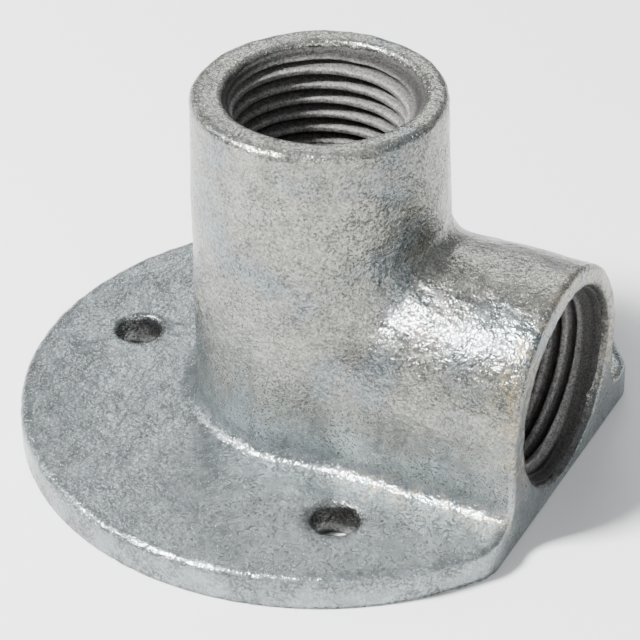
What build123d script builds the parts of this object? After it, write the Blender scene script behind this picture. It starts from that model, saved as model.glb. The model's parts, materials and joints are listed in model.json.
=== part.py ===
from build123d import *
from math import atan2, degrees, hypot
import os

# Base plate: its radius leaves the side lip beside the level socket where the plate is cut flat
plate_side_lip = 4.5
plate_thickness = 4.0
plate_edge_round = 0.9

# Holes for the fixing screws, evenly spaced with one opposite the level socket
screw_circle_diameter = 49.3
screw_hole_diameter = 5.4
screw_count = 3
first_screw_angle = 60.0

# Upright socket, drafted for the mould
upright_height = 42.3
upright_top_diameter = 27.5
upright_foot_diameter = 29.4

# Level socket, its end flush with the flat cut across the plate
level_reach = 29.5
level_axis_height = 12.5
level_diameter = 27.9

# Cast blends
foot_fillet = 2.2
crotch_fillet = 3.0
rim_round = 0.9
end_round = 0.9

# Half-inch parallel pipe thread: the tapped wall stands at the minor diameter
thread_minor_diameter = 18.631
thread_depth = 19.0
mouth_diameter = 22.4
mouth_depth = 1.6

# Cored waterway that joins the two sockets
waterway_diameter = 17.2

# Sizes worked out from the ones above
plate_radius = hypot(level_reach, level_diameter / 2 + plate_side_lip)
upright_draft = degrees(atan2((upright_foot_diameter - upright_top_diameter) / 2, upright_height))
mouth_radius = mouth_diameter / 2
thread_radius = thread_minor_diameter / 2
waterway_radius = waterway_diameter / 2
lead_in_depth = mouth_depth + mouth_radius - thread_radius
shoulder_depth = thread_depth + thread_radius - waterway_radius

level_axis = Axis((0, 0, level_axis_height), (1, 0, 0))

with BuildPart() as casting:
    # Round plate with a softened upper edge
    with BuildSketch(Plane.XY):
        Circle(plate_radius)
    extrude(amount=plate_thickness)
    plate_edge = casting.edges().group_by(Axis.Z)[-1]
    fillet(plate_edge, radius=plate_edge_round)

    # Upright socket
    with BuildSketch(Plane.XY):
        Circle(upright_foot_diameter / 2)
    extrude(amount=upright_height, taper=upright_draft)

    # Level socket: round on top, straight flanks down to the plate
    with BuildSketch(Plane.YZ):
        with Locations((0, level_axis_height)):
            Circle(level_diameter / 2)
        with Locations((0, level_axis_height / 2)):
            Rectangle(level_diameter, level_axis_height)
    extrude(amount=level_reach)

    # Flat cut across the plate, and the flat back
    split(bisect_by=Plane.YZ.offset(level_reach), keep=Keep.BOTTOM)
    split(bisect_by=Plane.XY, keep=Keep.TOP)

    # Blend between the two sockets
    where_sockets_meet = casting.edges().filter_by(
        lambda edge: edge.geom_type in (GeomType.BSPLINE, GeomType.HYPERBOLA)
        and edge.center().Z > plate_thickness
    )
    fillet(where_sockets_meet, radius=crotch_fillet)

    # Blend around the foot of both sockets
    foot_edges = casting.edges().filter_by(
        lambda edge: abs(edge.center().Z - plate_thickness) < 0.01
        and abs(edge.center().X - level_reach) > 0.1
        and max(vertex.center().length for vertex in edge.vertices()) < plate_radius - 1
    )
    fillet(foot_edges, radius=foot_fillet)

    # Softened ends of both sockets
    top_rim = casting.edges().group_by(Axis.Z)[-1]
    fillet(top_rim, radius=rim_round)
    end_edges = casting.edges().filter_by(
        lambda edge: abs(edge.center().X - level_reach) < 0.01
        and edge.geom_type == GeomType.CIRCLE
        and abs(edge.radius - level_diameter / 2) < 0.01
    )
    fillet(end_edges, radius=end_round)

    # Bore of the upright socket, in section: mouth, lead-in, tapped wall, shoulder, waterway
    with BuildSketch(Plane.XZ):
        with BuildLine():
            Polyline(
                (0, level_axis_height),
                (waterway_radius, level_axis_height),
                (waterway_radius, upright_height - shoulder_depth),
                (thread_radius, upright_height - thread_depth),
                (thread_radius, upright_height - lead_in_depth),
                (mouth_radius, upright_height - mouth_depth),
                (mouth_radius, upright_height),
                (0, upright_height),
                close=True,
            )
        make_face()
    revolve(axis=Axis.Z, mode=Mode.SUBTRACT)

    # Bore of the level socket, with the same section
    with BuildSketch(Plane.XZ):
        with BuildLine():
            Polyline(
                (0, level_axis_height),
                (0, level_axis_height + waterway_radius),
                (level_reach - shoulder_depth, level_axis_height + waterway_radius),
                (level_reach - thread_depth, level_axis_height + thread_radius),
                (level_reach - lead_in_depth, level_axis_height + thread_radius),
                (level_reach - mouth_depth, level_axis_height + mouth_radius),
                (level_reach, level_axis_height + mouth_radius),
                (level_reach, level_axis_height),
                close=True,
            )
        make_face()
    revolve(axis=level_axis, mode=Mode.SUBTRACT)

    # Rounded heel of the elbow
    with Locations((0, 0, level_axis_height)):
        Sphere(waterway_radius, mode=Mode.SUBTRACT)

    # Screw holes, straight through the plate
    with BuildSketch(Plane.XY):
        with PolarLocations(screw_circle_diameter / 2, screw_count, start_angle=first_screw_angle):
            Circle(screw_hole_diameter / 2)
    extrude(amount=plate_thickness, mode=Mode.SUBTRACT)

casting.part.label = "casting"
os.makedirs("parts", exist_ok=True)
export_step(casting.part, "parts/casting.step")
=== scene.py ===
"""Dresses the threaded pipe base flange: a galvanised casting with two tapped sockets, on a pale floor.

Sizes are in millimetres and are turned into metres only when a mesh is made.
"""

import json
import math

import bpy
import numpy as np
from bpy.props import FloatProperty, FloatVectorProperty, PointerProperty
from mathutils import Matrix, Vector


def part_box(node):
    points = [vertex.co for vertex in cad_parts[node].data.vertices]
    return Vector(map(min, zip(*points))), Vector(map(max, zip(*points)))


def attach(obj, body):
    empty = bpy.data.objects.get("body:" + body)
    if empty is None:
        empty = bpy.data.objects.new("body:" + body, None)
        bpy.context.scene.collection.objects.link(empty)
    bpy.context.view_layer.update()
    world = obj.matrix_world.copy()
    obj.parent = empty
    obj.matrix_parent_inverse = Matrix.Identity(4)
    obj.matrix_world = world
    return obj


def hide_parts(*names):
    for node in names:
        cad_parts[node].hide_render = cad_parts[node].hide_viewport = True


bl_info = {
    "name": "Threaded Base Flange",
    "version": (1, 0, 0),
    "blender": (4, 5, 0),
    "location": "3D View > Sidebar > Flange",
    "description": "Builds a galvanised threaded base flange and its stage",
    "category": "Object",
}

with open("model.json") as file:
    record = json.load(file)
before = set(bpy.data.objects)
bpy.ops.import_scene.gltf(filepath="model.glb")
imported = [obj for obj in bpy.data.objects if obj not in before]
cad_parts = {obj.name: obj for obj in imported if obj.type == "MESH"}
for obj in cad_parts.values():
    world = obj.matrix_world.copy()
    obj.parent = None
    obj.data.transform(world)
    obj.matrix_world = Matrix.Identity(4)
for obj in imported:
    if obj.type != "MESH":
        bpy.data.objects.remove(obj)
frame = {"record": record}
low_corner, high_corner = (np.array(corner) * 1000 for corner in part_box("casting"))
mounts = {mount["name"]: mount for mount in frame["record"]["mounts"]}

# Sizes read from the frame, in millimetres
UPRIGHT_HEIGHT = float(high_corner[2])
LEVEL_REACH = float(high_corner[0])
PLATE_RADIUS = float(-low_corner[0])
LEVEL_AXIS_HEIGHT = mounts["level_socket"]["pos_m"][2] * 1000
THREAD_MINOR_RADIUS = mounts["upright_socket"]["dims"]["r_mm"]
SCREW_CIRCLE_RADIUS = mounts["screw_holes"]["dims"]["pcd_mm"] / 2
SCREW_HOLE_RADIUS = mounts["screw_holes"]["dims"]["hole_r_mm"]
SCREW_COUNT = mounts["screw_holes"]["dims"]["count"]

# The screw holes are evenly spaced, the first one this many degrees from the level socket
FIRST_SCREW = 60
SCREW_ANGLES = [math.radians(FIRST_SCREW + 360 / SCREW_COUNT * place) for place in range(SCREW_COUNT)]

# Drips of zinc left on the plate: place across it, radius and height, in millimetres
ZINC_DRIPS = (
    (-20.4, 1.6, 1.0, 0.45),
    (-18.9, 2.9, 0.8, 0.30),
    (-26.5, -4.6, 0.9, 0.30),
    (-27.6, -6.0, 1.1, 0.25),
)

# Roundings of the skin's cut edges, in millimetres
END_ROUND = 0.6
BACK_ROUND = 0.3
BORE_ROUND = 0.45
SCREW_ROUND = 0.4

# A screw hole narrows by this much a millimetre below the plate's face, down to this depth
SCREW_TAPER = 0.15
SCREW_TAPER_DEPTH = 2.5

# The cast entry of a socket narrows by this much a millimetre of depth
ENTRY_SLOPE = 0.36

# Behind each cut thread the skin stands back this far, from this depth on. Its entry runs this much deeper
BACKING = 0.25
BACKING_START = 0.9
ENTRY_OVERRUN = 0.4

# Each cast entry: how far it sits off its thread's axis, in which direction, and how much tighter it is
UPRIGHT_ENTRY = (0.45, math.radians(28), 0.32)
LEVEL_ENTRY = (0.55, 0.0, -0.15)

# A thread's wall keeps this far inside the cast entry, and past the entry's depth it closes this much faster
WALL_CLEARANCE = 0.14
LEAD_IN_SLOPE = 0.75

# The wall flares out by this much at its mouth. Its groove deepens over one depth, runs out over another
WALL_FLARE = 0.28
GROOVE_START = 0.3
GROOVE_END = 3.0

# Shares of a pitch that are flat on a crest and in a groove, and how far the flanks between are smoothed
CREST_FLAT = 0.28
GROOVE_FLAT = 0.14
FLANK_SMOOTHING = 0.35

# Brightness kept for the plain lead-in, which gets painted shade almost as dark as a groove's: a groove has
# 0 and a crest 1
LEAD_IN_CREST = 0.12

# Depth of the zinc coat's fine grain, in millimetres
COAT_RELIEF = 0.34

# Camera: its direction and roll, its distance from the middle of the part's back, and its shifts to the
# right and up across the view, in millimetres
CAMERA_AZIMUTH = math.radians(28.27)
CAMERA_ELEVATION = math.radians(34.68)
CAMERA_ROLL = math.radians(-1.19)
CAMERA_DISTANCE = 303.0
CAMERA_BESIDE = -0.45
CAMERA_ABOVE = 10.41
CAMERA_LENS = 148.2

# Studio lamps: name, place in metres, size in metres and power in watts
LAMPS = (
    ("key", (-0.27, -0.28, 0.52), 0.13, 17.8),
    ("left", (-0.58, -0.04, 0.36), 0.12, 0.9),
    ("right", (0.34, -0.50, 0.24), 0.35, 1.6),
    ("rear", (-0.25, 0.60, 0.45), 0.30, 1.5),
)


def length(name, description, default, low=0.0, high=100.0):
    """A size property in millimetres."""
    return FloatProperty(name=name, description=description, default=default, min=low, max=high)


def turns(name, description, default):
    """A share of a full turn."""
    return FloatProperty(
        name=name, description=description, default=default, min=0.0, max=1.0, subtype="FACTOR"
    )


def colour(name, description, default):
    """A linear colour property."""
    return FloatVectorProperty(
        name=name, description=description, default=default, size=3, min=0.0, max=1.0, subtype="COLOR"
    )


class CastingSettings(bpy.types.PropertyGroup):
    """Sizes of the cast skin, in millimetres"""

    grid: length("Grid", "Spacing of the grid the skin is drawn on, mm", 0.5, 0.3, 2.0)
    plate_thickness: length("Plate Thickness", "Thickness of the round plate, mm", 4.0)
    upright_top: length("Upright Top Radius", "Outer radius of the upright socket at its rim, mm", 13.85)
    upright_foot: length("Upright Foot Radius", "Outer radius of the upright socket at the back, mm", 14.7)
    level_radius: length("Level Radius", "Half the width of the level socket, mm", 13.95)
    foot_fillet: length("Foot Fillet", "Blend between sockets and plate, mm", 1.9)
    crotch_fillet: length("Crotch Fillet", "Blend between the two sockets, mm", 2.1)
    edge_round: length("Edge Round", "Rounding of the outer cast edges, mm", 1.0)
    mouth_radius: length("Mouth Radius", "Radius of the plain entry ahead of each thread, mm", 11.2)
    mouth_depth: length("Mouth Depth", "Depth of the plain entry, mm", 1.7)
    thread_depth: length("Thread Depth", "Depth of the tapped wall, mm", 19.0)
    waterway_radius: length("Waterway Radius", "Radius of the cored way between the sockets, mm", 8.6)
    swell: length("Swell", "Height of the broad unevenness of the cast skin, mm", 0.12, 0.0, 1.0)
    ripple: length("Ripple", "Height of the fine unevenness of the cast skin, mm", 0.06, 0.0, 1.0)


class ThreadSettings(bpy.types.PropertyGroup):
    """Half-inch parallel pipe thread, in millimetres"""

    pitch: length("Pitch", "Advance of the thread in one turn, mm", 25.4 / 14)
    major_radius: length("Major Radius", "Radius at the bottom of the grooves, mm", 20.955 / 2)
    upright_start: turns("Upright Start", "Where round the upright mouth the thread starts, in turns", 0.47)
    level_start: turns("Level Start", "Where round the level mouth the thread starts, in turns", 0.1)


class LookSettings(bpy.types.PropertyGroup):
    """Colours of the galvanised skin and the stage"""

    zinc: colour("Zinc", "Base colour of the zinc coat", (0.255, 0.287, 0.295))
    warm_zinc: colour("Warm Zinc", "Colour of the coat where it has dulled", (0.268, 0.270, 0.245))
    stain: colour("Stain", "Colour of the yellow-brown stains", (0.33, 0.27, 0.16))
    # The soot colour also paints the shade in the crotch of the two sockets
    soot_and_shade: colour("Soot And Shade", "Colour of the dark specks and smudges", (0.075, 0.072, 0.068))
    steel: colour("Cut Iron", "Base colour of the cut threads", (0.40, 0.39, 0.38))
    floor: colour("Floor", "Colour of the floor", (0.84, 0.84, 0.84))


def link_piece(name, points, faces, material):
    """Makes a smooth mesh object from points in millimetres and quads, riding the fixed body."""
    mesh = bpy.data.meshes.new(name)
    mesh.from_pydata((points / 1000).tolist(), [], faces.tolist())
    mesh.update()
    mesh.polygons.foreach_set("use_smooth", np.ones(len(mesh.polygons), bool))
    piece = bpy.data.objects.new(name, mesh)
    bpy.context.scene.collection.objects.link(piece)
    mesh.materials.append(material)
    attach(piece, "root")
    return piece


def store(piece, name, values):
    """Keeps one value for each point of a piece, for its material to read."""
    layer = piece.data.attributes.new(name, "FLOAT", "POINT")
    layer.data.foreach_set("value", values.astype(np.float32))


# Shapes of the skin: every function below takes and returns whole arrays


def joined(a, b, radius):
    """Union of two solids with a round fillet.

    d = max(r, min(a, b)) - hypot(max(r - a, 0), max(r - b, 0))
    """
    return np.maximum(radius, np.minimum(a, b)) - np.hypot(
        np.maximum(radius - a, 0), np.maximum(radius - b, 0)
    )


def trimmed(a, b, radius):
    """Common part of two solids with a rounded edge.

    d = min(-r, max(a, b)) + hypot(max(r + a, 0), max(r + b, 0))
    """
    return np.minimum(-radius, np.maximum(a, b)) + np.hypot(
        np.maximum(radius + a, 0), np.maximum(radius + b, 0)
    )


def waves(points, wavelength, count, seed):
    """Smooth unevenness, mostly between -1 and 1.

    It is the sum of sin(p.k + phase) over random directions k, divided by the square root of their count.
    """
    rng = np.random.default_rng(seed)
    directions = rng.normal(size=(count, 3))
    directions /= np.linalg.norm(directions, axis=1, keepdims=True)
    directions *= 2 * math.pi / wavelength * rng.uniform(0.6, 1.5, size=(count, 1))
    phases = rng.uniform(0, 2 * math.pi, count)
    return np.sin(points @ directions.T + phases).sum(axis=1) / math.sqrt(count)


def bell(distance, width):
    """1 at no distance, falling smoothly to 0: exp(-(distance / width)^2)."""
    return np.exp(-((distance / width) ** 2))


def off_screw(x, y, angle):
    """Distance from the axis of the screw hole in this direction."""
    return np.hypot(x - SCREW_CIRCLE_RADIUS * math.cos(angle), y - SCREW_CIRCLE_RADIUS * math.sin(angle))


def off_entry(across, beyond, entry):
    """Distance from the axis of a cast entry, plus what that entry is tighter by."""
    shift, angle, tighter = entry
    return tighter + np.hypot(across - shift * math.cos(angle), beyond - shift * math.sin(angle))


def socket_bore(along, off_axis, off_mouth, start, end, settings):
    """Inside of one socket: a cone, a tapped hole and a narrower way that starts at `start`.

    off_axis is the distance from the thread's axis and off_mouth that from the cast entry's, and depth is
    counted from the mouth, which stands at `end`.
    """
    depth = end - along
    cone = off_mouth - settings.mouth_radius + ENTRY_SLOPE * depth
    mouth = np.maximum(cone, depth - settings.mouth_depth - ENTRY_OVERRUN)
    behind_thread = off_axis - settings.mouth_radius + BACKING
    past_ends = np.maximum(depth - settings.thread_depth, BACKING_START - depth)
    tapped = np.maximum(behind_thread, past_ends)
    way = np.maximum(off_axis - settings.waterway_radius, start - along)
    return np.minimum(np.minimum(mouth, tapped), way)


def casting_distance(points, settings):
    """Signed distance to the casting, negative inside.

    Plate, upright cone and level U-section are joined with fillets and cut flat at the level end. Then the
    two stepped bores, the elbow's round heel and the screw holes, slightly conical, are taken away.
    """
    x, y, z = points.T
    around = np.hypot(x, y)
    edge = settings.edge_round
    plate = trimmed(around - PLATE_RADIUS, z - settings.plate_thickness, edge)
    draft = (settings.upright_foot - settings.upright_top) / UPRIGHT_HEIGHT
    upright = trimmed(around - settings.upright_foot + draft * z, z - UPRIGHT_HEIGHT, edge)
    arch = np.hypot(y, np.maximum(z - LEVEL_AXIS_HEIGHT, 0)) - settings.level_radius
    level = np.maximum(arch, -x)
    sockets = joined(upright, level, settings.crotch_fillet)
    solid = joined(sockets, plate, settings.foot_fillet)
    solid = trimmed(solid, x - LEVEL_REACH, END_ROUND)
    solid = trimmed(solid, -z, BACK_ROUND)
    above = z - LEVEL_AXIS_HEIGHT
    upright_mouth, level_mouth = off_entry(x, y, UPRIGHT_ENTRY), off_entry(y, above, LEVEL_ENTRY)
    bores = np.minimum(
        socket_bore(z, around, upright_mouth, LEVEL_AXIS_HEIGHT, UPRIGHT_HEIGHT, settings),
        socket_bore(x, np.hypot(y, above), level_mouth, 0, LEVEL_REACH, settings),
    )
    heel = np.linalg.norm(points - (0, 0, LEVEL_AXIS_HEIGHT), axis=1) - settings.waterway_radius
    solid = trimmed(solid, -np.minimum(bores, heel), BORE_ROUND)
    depth = np.clip(settings.plate_thickness - z, 0, SCREW_TAPER_DEPTH)
    narrowed = SCREW_HOLE_RADIUS - SCREW_TAPER * depth
    for angle in SCREW_ANGLES:
        solid = trimmed(solid, narrowed - off_screw(x, y, angle), SCREW_ROUND)
    return solid


def cast_relief(points, settings):
    """Height of the rough sand-cast skin: broad swell, fine ripple and a few drips of zinc.

    It fades out towards the flat back.
    """
    relief = settings.swell * 0.5 * waves(points, 11.0, 16, 3)
    relief += settings.ripple * 0.5 * waves(points, 3.2, 24, 5)
    relief += settings.ripple * 0.25 * waves(points, 1.6, 24, 8)
    for x, y, radius, height in ZINC_DRIPS:
        away = np.linalg.norm(points - (x, y, settings.plate_thickness), axis=1)
        relief += height * bell(away, radius)
    return relief * np.clip(points[:, 2] / 1.5, 0, 1)


def surface_of(values, low, step):
    """Surface net of a grid of distances: one point in each mixed cell, one quad on each crossed grid edge.

    Each point is the mean of the crossings low + step (i + f0 / (f0 - f1)) on its cell's edges.
    """
    cells = np.array(values.shape) - 1
    sums, counts, quads = np.zeros((cells.prod(), 3)), np.zeros(cells.prod()), []
    for axis in range(3):
        across, beyond = (axis + 1) % 3, (axis + 2) % 3
        lower = np.moveaxis(np.moveaxis(values, axis, 0)[:-1], 0, axis)
        upper = np.moveaxis(np.moveaxis(values, axis, 0)[1:], 0, axis)
        at = np.argwhere((lower < 0) != (upper < 0))
        first, last = lower[tuple(at.T)], upper[tuple(at.T)]
        crossing = at.astype(float)
        crossing[:, axis] += first / (first - last)
        ring = []
        for back_across, back_beyond in ((0, 0), (1, 0), (1, 1), (0, 1)):
            cell = at.copy()
            cell[:, across] -= back_across
            cell[:, beyond] -= back_beyond
            ring.append(np.ravel_multi_index(tuple(cell.T), cells))
            np.add.at(sums, ring[-1], crossing)
            np.add.at(counts, ring[-1], 1)
        ring = np.stack(ring, axis=1)
        quads.append(np.where((first < 0)[:, None], ring, ring[:, ::-1]))
    used, faces = np.unique(np.concatenate(quads), return_inverse=True)
    return low + step * sums[used] / counts[used, None], faces.reshape(-1, 4)


def settled(points, distance, rounds=3):
    """Moves points onto the zero surface: p - d g / |g|^2, with the slope g from central differences."""
    nudge = 0.04
    for _ in range(rounds):
        slope = np.stack(
            [(distance(points + nudge * axis) - distance(points - nudge * axis)) for axis in np.eye(3)],
            axis=1,
        ) / (2 * nudge)
        size = np.maximum((slope**2).sum(axis=1), 0.25)
        points = points - np.clip(distance(points) / size, -0.5, 0.5)[:, None] * slope
    return points


def add_masks(piece, points, settings):
    """Stores where the coat is stained, where it gets soot and painted shade, where it is darker inside the
    screw holes and grimy round them, and where it is warm, on the piece's points.
    """
    x, y, z = points.T
    top = settings.plate_thickness

    # Yellow-brown stains on the level socket: round its end, along its foot and on the near lip of its end
    end = 0.6 * bell(x - LEVEL_REACH, 2.2) * np.clip((z - 3) / 6, 0, 1)
    beside = np.abs(y) - settings.level_radius - 1.5
    foot = bell(beside, 1.5) * bell(z - 5, 1.6) * np.clip((x - 4) / 8, 0, 1)
    lip = 1.5 * bell(x - LEVEL_REACH + 1.6, 1.5) * bell(z - 20, 5) * (y < 0)
    store(piece, "stain", np.maximum(np.maximum(end, foot), lip))

    # Soot everywhere and more of it on the plate; the plate's outer side wall is made darkest, and painted
    # shade darkens the crotch of the two sockets
    soot_and_crotch_shade = 0.45 + 0.10 * bell(np.hypot(x - 12, y) - 3, 6) * np.clip((z - 22) / 6, 0, 1)
    low_plate = 0.6 * np.clip(1 - (z - top) / 3, 0, 1)
    rim = 1.6 * np.clip((np.hypot(x, y) - PLATE_RADIUS + 0.8) / 0.5, 0, 1) * (z < top - 0.5)
    store(piece, "soot_and_shade", np.maximum(np.maximum(soot_and_crotch_shade, low_plate), rim))

    # Darker inside the screw holes, and grime raggedly round their edges
    away = np.min([off_screw(x, y, angle) for angle in SCREW_ANGLES], axis=0) - SCREW_HOLE_RADIUS
    inside = np.clip(0.7 - away / 0.5, 0, 1) * (z < top + 1)
    ragged = 0.8 * bell(away - 0.35 - 0.3 * waves(points, 2.4, 12, 21), 0.45)
    store(piece, "darkening_and_grime", np.maximum(inside, ragged))

    # The sockets have dulled to a warmer grey than the plate
    store(piece, "warm", np.clip((z - top - 2) / 6, 0, 1))


def thread_points(settings, thread, start_turn, cast_entry):
    """Tapped wall as radius over angle and depth: r = max(entry cone, minor + (major - minor) w(phase)).

    The phase is depth / pitch + angle / full turn + start_turn, and w is a flat-topped wave, so the groove
    winds as a right-hand screw. Depth runs from the mouth (0) inwards. Returns angles, depths and radii.
    """
    around, per_pitch, buried = 180, 16, 0.3
    start, end = BACKING_START - buried, settings.thread_depth + buried
    rows = int((end - start) / thread.pitch * per_pitch)
    turned, sunk = np.linspace(0, 2 * math.pi, around, endpoint=False), np.linspace(start, end, rows)
    angle, depth = np.meshgrid(turned, sunk)
    phase = (depth / thread.pitch + angle / (2 * math.pi) + start_turn) % 1
    wave = np.clip((np.abs(2 * phase - 1) - CREST_FLAT) / (1 - CREST_FLAT - GROOVE_FLAT), 0, 1)
    wave = FLANK_SMOOTHING * wave * wave * (3 - 2 * wave) + (1 - FLANK_SMOOTHING) * wave
    groove = (thread.major_radius - THREAD_MINOR_RADIUS) * wave

    # The lead-in keeps just inside the cast entry, and then closes faster than it
    shift, shift_angle, tighter = cast_entry
    entry = settings.mouth_radius - tighter + shift * np.cos(angle - shift_angle) - ENTRY_SLOPE * depth
    lead_in = entry - WALL_CLEARANCE - LEAD_IN_SLOPE * np.maximum(depth - settings.mouth_depth, 0)
    started = np.clip((depth - settings.mouth_depth) / GROOVE_START, 0, 1)
    radius = np.maximum(lead_in, THREAD_MINOR_RADIUS + started * groove)

    # The first rows flare out into the casting, and the last turns run out to the minor radius
    radius = radius + WALL_FLARE * (1 - np.clip((depth - start) / buried, 0, 1))
    run_out = np.clip((depth - (settings.thread_depth - GROOVE_END)) / GROOVE_END, 0, 1)
    radius = radius - run_out * (radius - THREAD_MINOR_RADIUS)
    return angle, depth, radius


def tube_faces(rows, columns):
    """Quads of a closed tube whose points run row by row."""
    row, column = np.meshgrid(np.arange(rows - 1), np.arange(columns), indexing="ij")
    following = (column + 1) % columns
    corners = (
        row * columns + column,
        row * columns + following,
        (row + 1) * columns + following,
        (row + 1) * columns + column,
    )
    return np.stack([corner.ravel() for corner in corners], axis=1)


class Nodes:
    """Short ways to add nodes to a tree. A value may be a number, a colour or another node's socket."""

    def __init__(self, tree):
        self.tree = tree

    def feed(self, socket, value):
        """Links a socket to another node's, or gives it a value of its own."""
        if isinstance(value, bpy.types.NodeSocket):
            self.tree.links.new(value, socket)
        else:
            socket.default_value = value

    def make(self, kind, inputs=None, **settings):
        """A node of this type, with its settings and its inputs by name or number."""
        node = self.tree.nodes.new(kind)
        for key, value in settings.items():
            setattr(node, key, value)
        for key, value in (inputs or {}).items():
            self.feed(node.inputs[key], value)
        return node

    def noise(self, place, scale, detail=2.0, roughness=0.5):
        """Fractal noise about 0.5, its scale in features per millimetre."""
        inputs = {"Vector": place, "Scale": scale, "Detail": detail, "Roughness": roughness}
        return self.make("ShaderNodeTexNoise", inputs).outputs["Fac"]

    def ramp(self, value, low, high, to_low=0.0, to_high=1.0, interpolation="SMOOTHSTEP"):
        """Step of a value from low..high to to_low..to_high, smooth unless it is said to be linear."""
        inputs = {"Value": value, "From Min": low, "From Max": high, "To Min": to_low, "To Max": to_high}
        return self.make("ShaderNodeMapRange", inputs, interpolation_type=interpolation).outputs["Result"]

    def maths(self, operation, a, b=0.0):
        """Sum, product or other result of two values."""
        return self.make("ShaderNodeMath", {0: a, 1: b}, operation=operation).outputs[0]

    def vector(self, operation, inputs):
        """Vector result of a vector operation."""
        return self.make("ShaderNodeVectorMath", inputs, operation=operation).outputs[0]

    def grey(self, value):
        """Colour with this value in all three channels."""
        return self.make("ShaderNodeCombineColor", {0: value, 1: value, 2: value}).outputs[0]

    def stored(self, name):
        """The value that the piece's points keep under this name."""
        return self.make("ShaderNodeAttribute", attribute_name=name).outputs["Fac"]

    def mix(self, factor, a, b, blend="MIX"):
        """Colour between a (factor 0) and b (factor 1), the node's sockets 6 and 7 among its inputs."""
        node = self.make("ShaderNodeMix", data_type="RGBA", blend_type=blend)
        for socket, value in ((node.inputs[0], factor), (node.inputs[6], a), (node.inputs[7], b)):
            self.feed(socket, value)
        return node.outputs[2]


def new_material(name):
    """An empty node material and its nodes."""
    material = bpy.data.materials.new(name)
    material.use_nodes = True
    material.node_tree.nodes.clear()
    return material, Nodes(material.node_tree)


def group_of(name, inputs, outputs):
    """A new shader node group with these sockets, and its nodes, inputs and output node."""
    tree = bpy.data.node_groups.new(name, "ShaderNodeTree")
    for label, kind in inputs:
        tree.interface.new_socket(name=label, in_out="INPUT", socket_type=kind)
    for label, kind in outputs:
        tree.interface.new_socket(name=label, in_out="OUTPUT", socket_type=kind)
    nodes = Nodes(tree)
    return tree, nodes, nodes.make("NodeGroupInput").outputs, nodes.make("NodeGroupOutput")


def zinc_coat_group():
    """Weathered zinc coat: broad clouds, mottle, sandy grain, dark specks, smudges of soot and painted
    shade, stains, and darkening and grime.
    """
    tree, nodes, given, out = group_of(
        "Zinc Coat",
        (
            ("Place", "NodeSocketVector"),
            ("Zinc", "NodeSocketColor"),
            ("Warm Zinc", "NodeSocketColor"),
            ("Soot And Shade", "NodeSocketColor"),
            ("Stain", "NodeSocketColor"),
            ("Shade And Smudge Mask", "NodeSocketFloat"),
            ("Stain Mask", "NodeSocketFloat"),
            ("Warm Mask", "NodeSocketFloat"),
            ("Darkening And Grime Mask", "NodeSocketFloat"),
        ),
        (("Color", "NodeSocketColor"), ("Roughness", "NodeSocketFloat"), ("Height", "NodeSocketFloat")),
    )
    place = nodes.vector("SCALE", {0: given["Place"], "Scale": 1000.0})
    clouds = nodes.noise(place, 0.10, 3.0, 0.55)
    patches = nodes.noise(place, 0.24, 4.0, 0.65)
    mottle = nodes.noise(place, 0.60, 6.0, 0.70)
    grit = nodes.noise(place, 1.25, 2.0, 0.55)
    fine = nodes.noise(place, 2.9, 2.0, 0.55)
    specks = nodes.noise(place, 3.1, 4.0, 0.72)
    grain = nodes.noise(place, 3.6, 6.0, 0.82)

    # Clean zinc, lighter and darker with clouds, mottle and grain, whose contrast is higher where it is warm
    cloudy = nodes.ramp(clouds, 0.38, 0.62, 0.86, 1.07)
    mottled = nodes.ramp(mottle, 0.38, 0.62, 0.84, 1.10)
    least = nodes.ramp(given["Warm Mask"], 0.0, 1.0, 0.86, 0.34)
    most = nodes.ramp(given["Warm Mask"], 0.0, 1.0, 1.06, 1.30)
    grained = nodes.ramp(grain, 0.36, 0.62, least, most, interpolation="LINEAR")
    light = nodes.maths("MULTIPLY", nodes.maths("MULTIPLY", cloudy, mottled), grained)
    dulled = nodes.maths("MULTIPLY", given["Warm Mask"], nodes.ramp(clouds, 0.36, 0.52))
    tint = nodes.mix(dulled, given["Zinc"], given["Warm Zinc"])
    colour = nodes.mix(1.0, tint, nodes.grey(light), "MULTIPLY")

    # Dark specks, more of them where the soot and painted shade mask is higher
    dirt_at = nodes.maths("SUBTRACT", 0.585, nodes.maths("MULTIPLY", given["Shade And Smudge Mask"], 0.045))
    dirt = nodes.ramp(nodes.maths("SUBTRACT", specks, dirt_at), -0.045, 0.045)
    dirt = nodes.maths("MULTIPLY", dirt, nodes.ramp(patches, 0.38, 0.60, 0.25, 0.80))
    colour = nodes.mix(dirt, colour, given["Soot And Shade"])

    # Smudges of soot and painted shade, stains, and darkening and grime, each broken up by a noise
    soot_and_shade_share = nodes.maths("MULTIPLY", given["Shade And Smudge Mask"], 0.22)
    smudge_and_shade = nodes.maths("MULTIPLY", nodes.ramp(patches, 0.48, 0.66), soot_and_shade_share)
    colour = nodes.mix(smudge_and_shade, colour, given["Soot And Shade"])
    stained = nodes.maths("MULTIPLY", given["Stain Mask"], nodes.ramp(mottle, 0.45, 0.60, 0.0, 0.6))
    colour = nodes.mix(stained, colour, given["Stain"])
    darkening_and_grime = nodes.maths("MULTIPLY", given["Darkening And Grime Mask"], nodes.ramp(mottle, 0.36, 0.54, 1.0, 0.80))
    colour = nodes.mix(darkening_and_grime, colour, given["Soot And Shade"])
    nodes.feed(out.inputs["Color"], colour)

    polish = nodes.ramp(mottle, 0.38, 0.62, 0.15, 0.27)
    nodes.feed(out.inputs["Roughness"], nodes.maths("ADD", polish, nodes.maths("MULTIPLY", dirt, 0.3)))

    height = nodes.maths("ADD", nodes.maths("MULTIPLY", mottle, 0.16), nodes.maths("MULTIPLY", grit, 0.42))
    height = nodes.maths("ADD", height, nodes.maths("MULTIPLY", fine, 0.20))
    height = nodes.maths("SUBTRACT", height, nodes.maths("MULTIPLY", dirt, 0.10))
    nodes.feed(out.inputs["Height"], height)
    return tree


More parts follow.
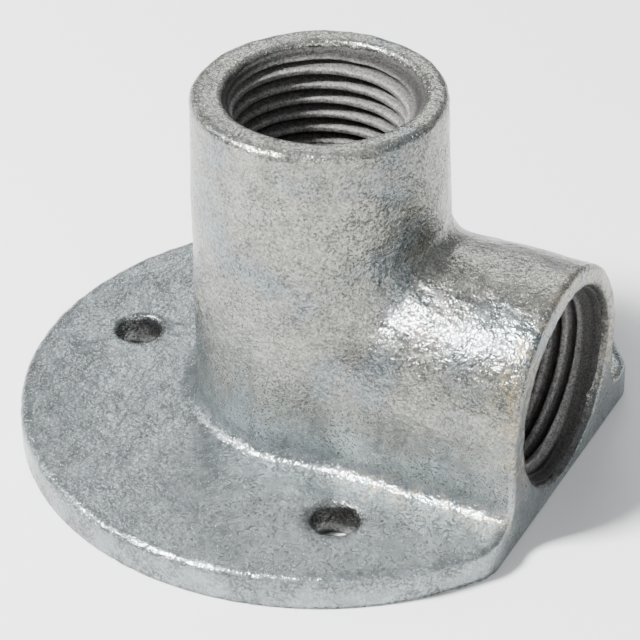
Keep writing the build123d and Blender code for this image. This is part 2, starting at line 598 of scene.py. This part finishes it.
def inside_entry(nodes, place, kept, centre, radius, along, start):
    """1 within `radius` mm of the axis through `centre` and further along it than `start` mm, otherwise 0.

    `kept` is 0 for the axis's own direction, so the distance is counted across it.
    """
    across = nodes.vector("MULTIPLY", {0: place, 1: kept})
    across = nodes.vector("SCALE", {0: across, "Scale": 1000.0})
    away = nodes.make("ShaderNodeVectorMath", {0: across, 1: centre}, operation="DISTANCE")
    near = nodes.ramp(away.outputs["Value"], radius - 0.1, radius + 0.1, 1.0, 0.0)
    reached = nodes.make("ShaderNodeSeparateXYZ", {0: place}).outputs[along]
    return nodes.maths("MULTIPLY", near, nodes.maths("GREATER_THAN", reached, start / 1000))


def cored_mask(nodes, place, settings):
    """1 on the inner walls of both sockets, from inside the elbow up to their mouths.

    The zinc reaches a little way into the upright entry, and the level one is bare up to its edge.
    """
    shift, angle, tighter = UPRIGHT_ENTRY
    centre = (shift * math.cos(angle), shift * math.sin(angle), 0.0)
    radius = settings.mouth_radius - tighter - 0.3
    upright = inside_entry(nodes, place, (1.0, 1.0, 0.0), centre, radius, "Z", 12.0)
    shift, angle, tighter = LEVEL_ENTRY
    centre = (0.0, shift * math.cos(angle), LEVEL_AXIS_HEIGHT + shift * math.sin(angle))
    radius = settings.mouth_radius - tighter + 0.12
    level = inside_entry(nodes, place, (0.0, 1.0, 1.0), centre, radius, "X", 4.0)
    return nodes.maths("MAXIMUM", upright, level)


def zinc_material(looks, settings):
    """Galvanised skin: the coat's colour and roughness on a mostly metallic surface, its grain as a bump."""
    material, nodes = new_material("Galvanised")
    place = nodes.make("ShaderNodeTexCoord").outputs["Object"]
    inputs = {
        "Place": place,
        "Zinc": (*looks.zinc, 1.0),
        "Warm Zinc": (*looks.warm_zinc, 1.0),
        "Soot And Shade": (*looks.soot_and_shade, 1.0),
        "Stain": (*looks.stain, 1.0),
        "Shade And Smudge Mask": nodes.stored("soot_and_shade"),
        "Stain Mask": nodes.stored("stain"),
        "Warm Mask": nodes.stored("warm"),
        "Darkening And Grime Mask": nodes.maths("MAXIMUM", nodes.stored("darkening_and_grime"), cored_mask(nodes, place, settings)),
    }
    coat = nodes.make("ShaderNodeGroup", node_tree=zinc_coat_group())
    for name, value in inputs.items():
        nodes.feed(coat.inputs[name], value)
    bump = nodes.make(
        "ShaderNodeBump", {"Height": coat.outputs["Height"], "Strength": 1.0, "Distance": COAT_RELIEF / 1000}
    )
    shader = nodes.make(
        "ShaderNodeBsdfPrincipled",
        {
            "Base Color": coat.outputs["Color"],
            "Roughness": coat.outputs["Roughness"],
            "Metallic": 0.88,
            "Normal": bump.outputs["Normal"],
        },
    )
    nodes.make("ShaderNodeOutputMaterial", {"Surface": shader.outputs["BSDF"]})
    return material


def thread_material(looks):
    """Cut iron: painted shade makes the grooves nearly black and a painted highlight brightens the crests;
    unevenly worn.
    """
    material, nodes = new_material("CutIron")
    place = nodes.vector("SCALE", {0: nodes.make("ShaderNodeTexCoord").outputs["Object"], "Scale": 1000.0})
    wear = nodes.noise(place, 1.8, 5.0, 0.75)
    smut = nodes.noise(place, 4.5, 3.0, 0.7)

    # The crest value is 0 in the grooves and 1 on the crests. The colour brightens with it in two steps,
    # painted shade in the grooves and a painted highlight on the crests
    crest = nodes.stored("crest")
    flank, top = nodes.ramp(crest, 0.05, 0.40, 0.0, 0.42), nodes.ramp(crest, 0.55, 0.95, 0.0, 0.50)
    bright = nodes.maths("MULTIPLY", nodes.maths("ADD", flank, top), nodes.ramp(wear, 0.3, 0.6, 0.45, 1.0))
    # Painted shade in the grooves: the cut iron's colour darkened to 0.16 of it
    groove_shade = tuple(channel * 0.16 for channel in looks.steel) + (1.0,)
    colour = nodes.mix(bright, groove_shade, (*looks.steel, 1.0))
    colour = nodes.mix(1.0, colour, nodes.grey(nodes.ramp(smut, 0.42, 0.56, 0.55, 1.1)), "MULTIPLY")
    rough = nodes.maths("SUBTRACT", 0.55, nodes.maths("MULTIPLY", bright, 0.22))
    bump = nodes.make("ShaderNodeBump", {"Height": wear, "Strength": 1.0, "Distance": 0.0003})
    shader = nodes.make(
        "ShaderNodeBsdfPrincipled",
        {"Base Color": colour, "Roughness": rough, "Metallic": 0.85, "Normal": bump.outputs["Normal"]},
    )
    nodes.make("ShaderNodeOutputMaterial", {"Surface": shader.outputs["BSDF"]})
    return material


def floor_piece(looks):
    """Wide pale floor under the part."""
    reach = 3.0
    corners = [(-reach, -reach, 0), (reach, -reach, 0), (reach, reach, 0), (-reach, reach, 0)]
    mesh = bpy.data.meshes.new("floor")
    mesh.from_pydata(corners, [], [(0, 1, 2, 3)])
    paint, nodes = new_material("Floor")
    shader = nodes.make("ShaderNodeBsdfPrincipled", {"Base Color": (*looks.floor, 1.0), "Roughness": 0.9})
    nodes.make("ShaderNodeOutputMaterial", {"Surface": shader.outputs["BSDF"]})
    mesh.materials.append(paint)
    floor = bpy.data.objects.new("floor", mesh)
    bpy.context.scene.collection.objects.link(floor)
    return floor


def studio_lamps():
    """The square lamps, each turned to face the part."""
    lamps = []
    for name, place, size, power in LAMPS:
        light = bpy.data.lights.new(name, "AREA")
        light.size, light.energy = size, power
        lamp = bpy.data.objects.new(name, light)
        lamp.location = place
        lamp.rotation_mode = "QUATERNION"
        aim = Vector((0.0, 0.0, 0.02)) - lamp.location
        lamp.rotation_quaternion = aim.to_track_quat("-Z", "Y")
        bpy.context.scene.collection.objects.link(lamp)
        lamps.append(lamp)
    return lamps


def studio_world(looks):
    """Soft light that grows from the horizon up. The camera sees the floor's colour instead."""
    world = bpy.data.worlds.new("Studio")
    world.use_nodes = True
    nodes = Nodes(world.node_tree)
    sky = nodes.make("ShaderNodeSeparateXYZ", {0: nodes.make("ShaderNodeTexCoord").outputs["Generated"]})
    height = nodes.ramp(sky.outputs["Z"], 0.05, 0.95)
    glow = nodes.mix(height, (0.28, 0.295, 0.31, 1.0), (0.60, 0.62, 0.64, 1.0))
    seen = nodes.make("ShaderNodeLightPath").outputs["Is Camera Ray"]
    glow = nodes.mix(seen, glow, (*looks.floor, 1.0))
    nodes.feed(world.node_tree.nodes["Background"].inputs["Color"], glow)
    return world


def studio_camera():
    """Camera placed by its two angles, turned by its roll about the line of sight."""
    turn, tilt = CAMERA_AZIMUTH, CAMERA_ELEVATION
    back = Vector((math.sin(turn) * math.cos(tilt), -math.cos(turn) * math.cos(tilt), math.sin(tilt)))
    right = Vector((math.cos(turn), math.sin(turn), 0))
    up = back.cross(right)
    lens = bpy.data.cameras.new("camera")
    lens.lens, lens.sensor_width = CAMERA_LENS, 36.0
    lens.clip_start, lens.clip_end = 0.01, 10.0
    camera = bpy.data.objects.new("camera", lens)
    across = right * math.cos(CAMERA_ROLL) + up * math.sin(CAMERA_ROLL)
    above = up * math.cos(CAMERA_ROLL) - right * math.sin(CAMERA_ROLL)
    place = (back * CAMERA_DISTANCE + right * CAMERA_BESIDE + up * CAMERA_ABOVE) / 1000
    facing = Matrix((across, above, back)).transposed().to_4x4()
    camera.matrix_world = Matrix.Translation(place) @ facing
    bpy.context.scene.collection.objects.link(camera)
    return camera


class FLANGE_OT_casting(bpy.types.Operator):
    """Draws the cast skin and lets it stand for the frame's casting"""

    bl_idname = "flange.casting"
    bl_label = "Casting"

    def execute(self, context):
        settings = context.scene.flange_casting
        step, margin, most_relief = settings.grid, 1.5, 0.3
        low, high = low_corner - margin, high_corner + margin
        sides = [np.arange(a, b + step, step) for a, b in zip(low, high)]
        grid = np.stack(np.meshgrid(*sides, indexing="ij"), axis=-1)
        values = casting_distance(grid.reshape(-1, 3), settings).reshape(grid.shape[:3])
        points, faces = surface_of(values, low, step)
        points = settled(points, lambda p: casting_distance(p, settings) - cast_relief(p, settings))
        points = np.clip(points, low_corner - most_relief, high_corner + most_relief)
        points[:, 2] = np.maximum(points[:, 2], 0)
        material = zinc_material(context.scene.flange_looks, settings)
        skin = link_piece("casting_skin", points, faces, material)
        add_masks(skin, points, settings)
        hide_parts("casting")
        return {"FINISHED"}


class FLANGE_OT_threads(bpy.types.Operator):
    """Cuts the pipe thread in both sockets"""

    bl_idname = "flange.threads"
    bl_label = "Threads"

    def execute(self, context):
        settings, thread = context.scene.flange_casting, context.scene.flange_thread
        material = thread_material(context.scene.flange_looks)
        for name, start_turn, entry in (
            ("upright_thread", thread.upright_start, UPRIGHT_ENTRY),
            ("level_thread", thread.level_start, LEVEL_ENTRY),
        ):
            angle, depth, radius = thread_points(settings, thread, start_turn, entry)
            across, beyond = radius * np.cos(angle), radius * np.sin(angle)
            if name == "upright_thread":
                grid = np.stack([across, beyond, UPRIGHT_HEIGHT - depth], axis=-1)
            else:
                grid = np.stack([LEVEL_REACH - depth, across, LEVEL_AXIS_HEIGHT + beyond], axis=-1)
            faces = tube_faces(*radius.shape)[:, ::-1]
            piece = link_piece(name, grid.reshape(-1, 3), faces, material)
            # The crest value drives the painted groove shade and crest highlight; the plain lead-in gets its
            # fixed painted shade
            crest = 1 - (radius - THREAD_MINOR_RADIUS) / (thread.major_radius - THREAD_MINOR_RADIUS)
            crest[depth < settings.mouth_depth - GROOVE_START] = LEAD_IN_CREST
            store(piece, "crest", np.clip(crest, 0, 1).ravel())
        return {"FINISHED"}


class FLANGE_OT_stage(bpy.types.Operator):
    """Sets the floor, the soft studio lights and the camera"""

    bl_idname = "flange.stage"
    bl_label = "Stage"

    def execute(self, context):
        scene, looks = context.scene, context.scene.flange_looks
        floor, lamps = floor_piece(looks), studio_lamps()
        scene.world = studio_world(looks)
        scene.camera = studio_camera()
        return {"FINISHED"}


class FLANGE_PT_panel(bpy.types.Panel):
    """Lists the pieces and their sizes"""

    bl_label = "Threaded Base Flange"
    bl_idname = "FLANGE_PT_panel"
    bl_space_type = "VIEW_3D"
    bl_region_type = "UI"
    bl_category = "Flange"

    def draw(self, context):
        for operator, group in (
            (FLANGE_OT_casting, context.scene.flange_casting),
            (FLANGE_OT_threads, context.scene.flange_thread),
            (FLANGE_OT_stage, context.scene.flange_looks),
        ):
            box = self.layout.box()
            for key in type(group).__annotations__:
                box.prop(group, key)
            box.operator(operator.bl_idname)


CLASSES = (
    CastingSettings,
    ThreadSettings,
    LookSettings,
    FLANGE_OT_casting,
    FLANGE_OT_threads,
    FLANGE_OT_stage,
    FLANGE_PT_panel,
)


def register():
    """Adds the settings, the buttons and the panel."""
    for item in CLASSES:
        bpy.utils.register_class(item)
    bpy.types.Scene.flange_casting = PointerProperty(type=CastingSettings)
    bpy.types.Scene.flange_thread = PointerProperty(type=ThreadSettings)
    bpy.types.Scene.flange_looks = PointerProperty(type=LookSettings)


def unregister():
    """Takes away what register added."""
    del bpy.types.Scene.flange_looks
    del bpy.types.Scene.flange_thread
    del bpy.types.Scene.flange_casting
    for item in reversed(CLASSES):
        bpy.utils.unregister_class(item)


def main():
    register()
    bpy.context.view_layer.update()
    bpy.ops.flange.casting()
    bpy.ops.flange.threads()
    bpy.ops.flange.stage()


if __name__ == "__main__":
    main()
